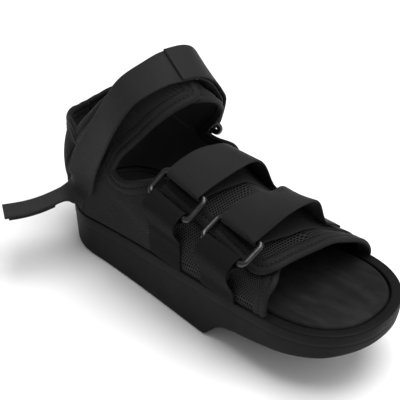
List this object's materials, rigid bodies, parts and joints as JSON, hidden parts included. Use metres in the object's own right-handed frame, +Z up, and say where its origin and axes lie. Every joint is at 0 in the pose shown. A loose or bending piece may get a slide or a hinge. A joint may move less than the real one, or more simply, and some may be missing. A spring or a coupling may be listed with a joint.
{
  "type": "forefoot offloading shoe",
  "caption": "Open-toed post-operative shoe with a foam wedge sole under heel and midfoot, a raised toe end, a mesh upper with a crossing flap, ring-and-loop straps and an ankle strap.",
  "frame": {"origin": "under the middle of the shoe's bounding box, on the floor", "axes": "+X from heel to toe, +Y from the outer side of the foot to the inner side, +Z up"},
  "size_m": [0.2872, 0.1582, 0.1831],
  "materials": {
    "sole_foam": "matte moulded foam",
    "footbed": "brushed cloth over foam",
    "mesh": "spacer mesh",
    "binding": "padded tape",
    "webbing": "brushed loop webbing",
    "ring_plastic": "moulded gloss",
    "hook_tape": "hook tape"
  },
  "bodies": {
    "root": {"sole": "sole_foam", "footbed": "footbed", "near_vamp": "mesh", "toe_binding": "binding", "vamp_flap": "mesh", "flap_binding": "binding", "near_quarter": "mesh", "far_quarter": "mesh", "near_wing": "mesh", "near_binding": "binding", "far_wing": "mesh", "far_binding": "binding", "ring_rear": "ring_plastic", "tab_rear": "webbing", "strap_rear": "webbing", "ring_front": "ring_plastic", "tab_front": "webbing", "strap_front": "webbing", "ring_ankle": "ring_plastic", "tab_ankle": "webbing", "ankle_strap": "webbing", "hook_patch": "hook_tape"}
  },
  "joints": []
}
